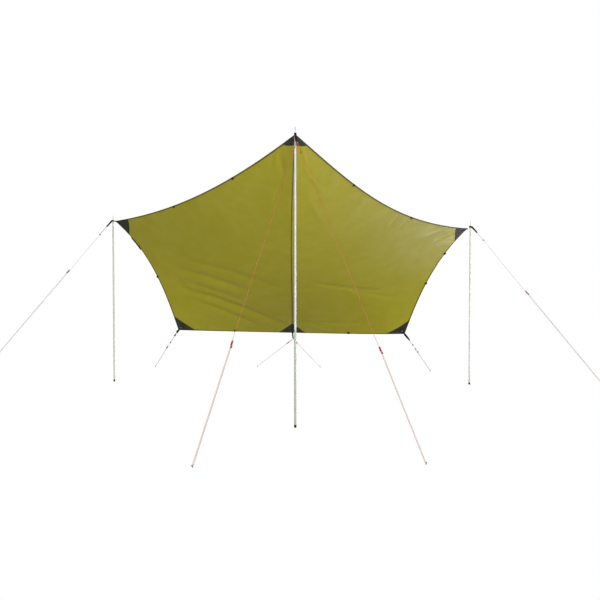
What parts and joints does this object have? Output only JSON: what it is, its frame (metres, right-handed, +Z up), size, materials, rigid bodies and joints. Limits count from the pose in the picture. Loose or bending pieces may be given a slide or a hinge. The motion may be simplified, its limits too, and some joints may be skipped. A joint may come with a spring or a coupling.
{
  "type": "camping tarp",
  "caption": "Wing-shaped fabric tarp pitched on steel poles, with webbing corners, adjustable guy ropes and ground pegs.",
  "frame": {"origin": "on the ground, at the middle of the centre pole's foot", "axes": "+Z up, +X to the right of someone who looks in from the open front, +Y towards the low rear edge"},
  "size_m": [7.7271, 5.8111, 2.559],
  "materials": {
    "cloth": "olive coated ripstop cloth, matt with a faint sheen",
    "patch_cloth": "dark grey coated cloth, matt",
    "webbing": "black woven webbing",
    "binding": "dark olive woven tape",
    "seam_tape": "olive sealing tape, smooth",
    "steel": "galvanised steel, light grey",
    "rubber": "black rubber, matt",
    "eyelet_metal": "plated steel",
    "rope": "braided cord, pale with red flecks",
    "runner": "red moulded plastic",
    "peg_steel": "dull plated steel"
  },
  "bodies": {
    "pitched_tarp": {"left_panel": "cloth", "right_panel": "cloth", "seam_tape": "seam_tape", "left_edge_binding": "binding", "right_edge_binding": "binding", "apex_patch": "patch_cloth", "left_wing_patch": "patch_cloth", "right_wing_patch": "patch_cloth", "rear_left_patch": "patch_cloth", "rear_right_patch": "patch_cloth", "rear_middle_patch": "patch_cloth", "apex_strap": "webbing", "left_wing_strap": "webbing", "right_wing_strap": "webbing", "rear_left_strap": "webbing", "rear_right_strap": "webbing", "rear_middle_strap": "webbing", "apex_eyelet": "eyelet_metal", "left_wing_eyelet": "eyelet_metal", "right_wing_eyelet": "eyelet_metal", "centre_pole_foot": "rubber", "centre_pole_lower_tube": "steel", "centre_pole_middle_tube": "steel", "centre_pole_upper_tube": "steel", "centre_pole_spike": "steel", "left_pole_foot": "rubber", "left_pole_lower_tube": "steel", "left_pole_middle_tube": "steel", "left_pole_upper_tube": "steel", "left_pole_spike": "steel", "right_pole_foot": "rubber", "right_pole_lower_tube": "steel", "right_pole_middle_tube": "steel", "right_pole_upper_tube": "steel", "right_pole_spike": "steel", "front_left_guy_rope": "rope", "front_left_guy_peg": "peg_steel", "front_right_guy_rope": "rope", "front_right_guy_peg": "peg_steel", "left_guy_rope": "rope", "left_guy_peg": "peg_steel", "right_guy_rope": "rope", "right_guy_peg": "peg_steel", "rear_left_guy_rope": "rope", "rear_left_guy_peg": "peg_steel", "rear_middle_left_guy_rope": "rope", "rear_middle_left_guy_peg": "peg_steel", "rear_middle_right_guy_rope": "rope", "rear_middle_right_guy_peg": "peg_steel", "rear_right_guy_rope": "rope", "rear_right_guy_peg": "peg_steel"},
    "front_left_runner": {"front_left_guy_runner": "runner"},
    "front_right_runner": {"front_right_guy_runner": "runner"},
    "left_runner": {"left_guy_runner": "runner"},
    "right_runner": {"right_guy_runner": "runner"},
    "rear_left_runner": {"rear_left_guy_runner": "runner"},
    "rear_middle_left_runner": {"rear_middle_left_guy_runner": "runner"},
    "rear_middle_right_runner": {"rear_middle_right_guy_runner": "runner"},
    "rear_right_runner": {"rear_right_guy_runner": "runner"}
  },
  "joints": [
    {"name": "front_left_runner_slide", "type": "slide", "parent": "pitched_tarp", "child": "front_left_runner", "axis": [-0.2458, -0.4764, -0.8442], "range_m": [0, 0.848]},
    {"name": "front_right_runner_slide", "type": "slide", "parent": "pitched_tarp", "child": "front_right_runner", "axis": [0.3103, -0.4464, -0.8393], "range_m": [0, 0.796]},
    {"name": "left_runner_slide", "type": "slide", "parent": "pitched_tarp", "child": "left_runner", "axis": [-0.6715, 0.3003, -0.6774], "range_m": [0, 1.865]},
    {"name": "right_runner_slide", "type": "slide", "parent": "pitched_tarp", "child": "right_runner", "axis": [0.6224, -0.1022, -0.776], "range_m": [0, 1.299]},
    {"name": "rear_left_runner_slide", "type": "slide", "parent": "pitched_tarp", "child": "rear_left_runner", "axis": [-0.4104, 0.7395, -0.5336], "range_m": [0, 0.489]},
    {"name": "rear_middle_left_runner_slide", "type": "slide", "parent": "pitched_tarp", "child": "rear_middle_left_runner", "axis": [-0.5697, 0.6607, -0.4888], "range_m": [0, 0.684]},
    {"name": "rear_middle_right_runner_slide", "type": "slide", "parent": "pitched_tarp", "child": "rear_middle_right_runner", "axis": [0.4916, 0.6571, -0.5714], "range_m": [0, 0.569]},
    {"name": "rear_right_runner_slide", "type": "slide", "parent": "pitched_tarp", "child": "rear_right_runner", "axis": [0.4882, 0.584, -0.6486], "range_m": [0, 0.389]}
  ]
}
